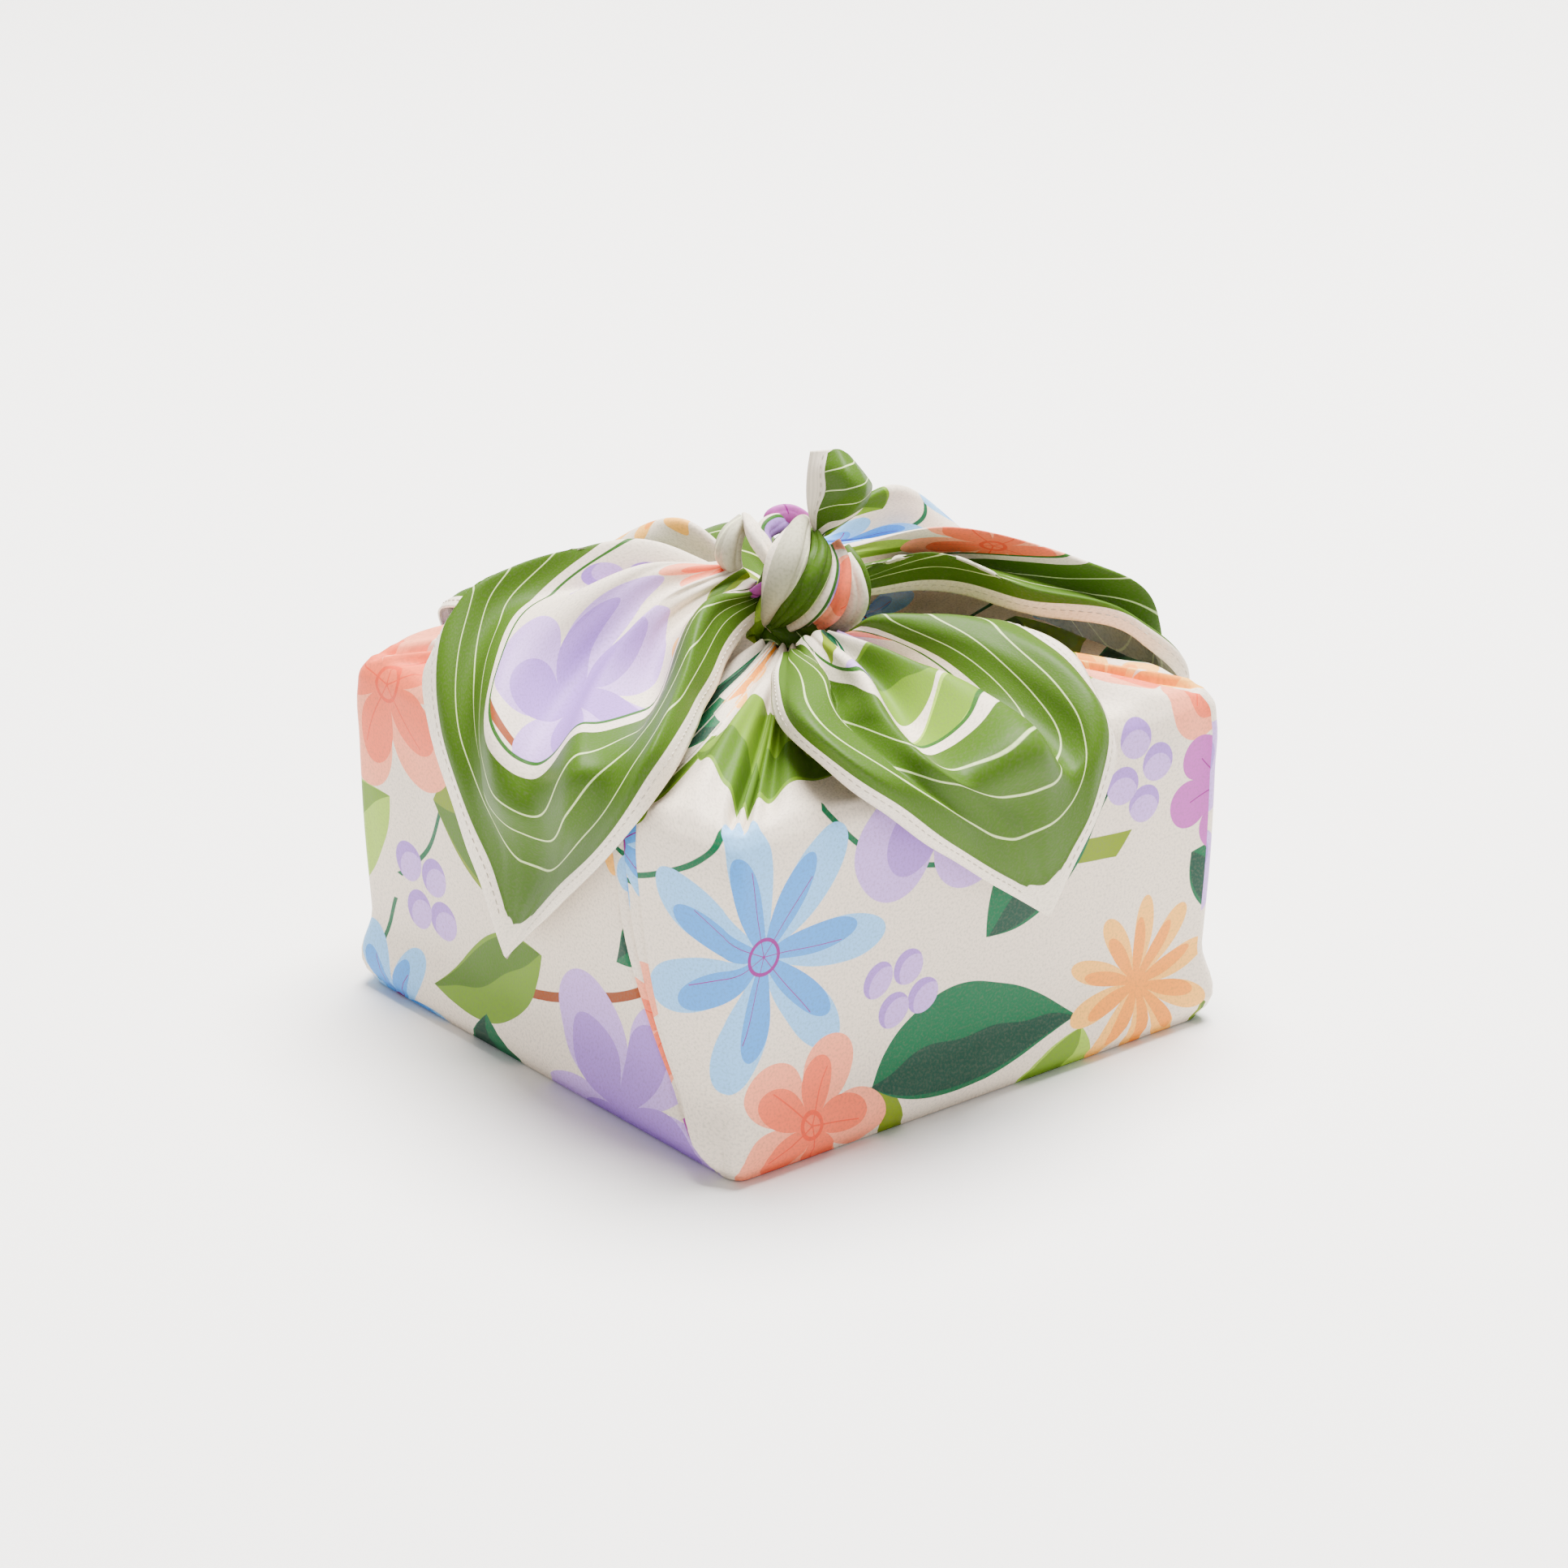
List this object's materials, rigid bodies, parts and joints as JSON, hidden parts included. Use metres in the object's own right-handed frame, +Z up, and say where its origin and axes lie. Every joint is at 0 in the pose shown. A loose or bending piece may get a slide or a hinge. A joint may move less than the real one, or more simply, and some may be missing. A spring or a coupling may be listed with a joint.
{
  "type": "furoshiki wrap on a gift box",
  "caption": "Square printed satin cloth wrapped round a low square gift box, its corners knotted on top and draped outwards over the sides.",
  "frame": {"origin": "middle of the wrap's flat base, on the surface that it stands on", "axes": "+Z up; the box's sides lie along X and Y, -Y is the side at the right of the picture and -X the side at its left"},
  "size_m": [0.2068, 0.2097, 0.1746],
  "materials": {
    "printed_satin": "smooth satin weave with a floral print, a green border and a white rolled hem",
    "box_card": "plain matte card"
  },
  "bodies": {
    "root": {"cloth": "printed_satin", "box": "box_card"}
  },
  "joints": []
}
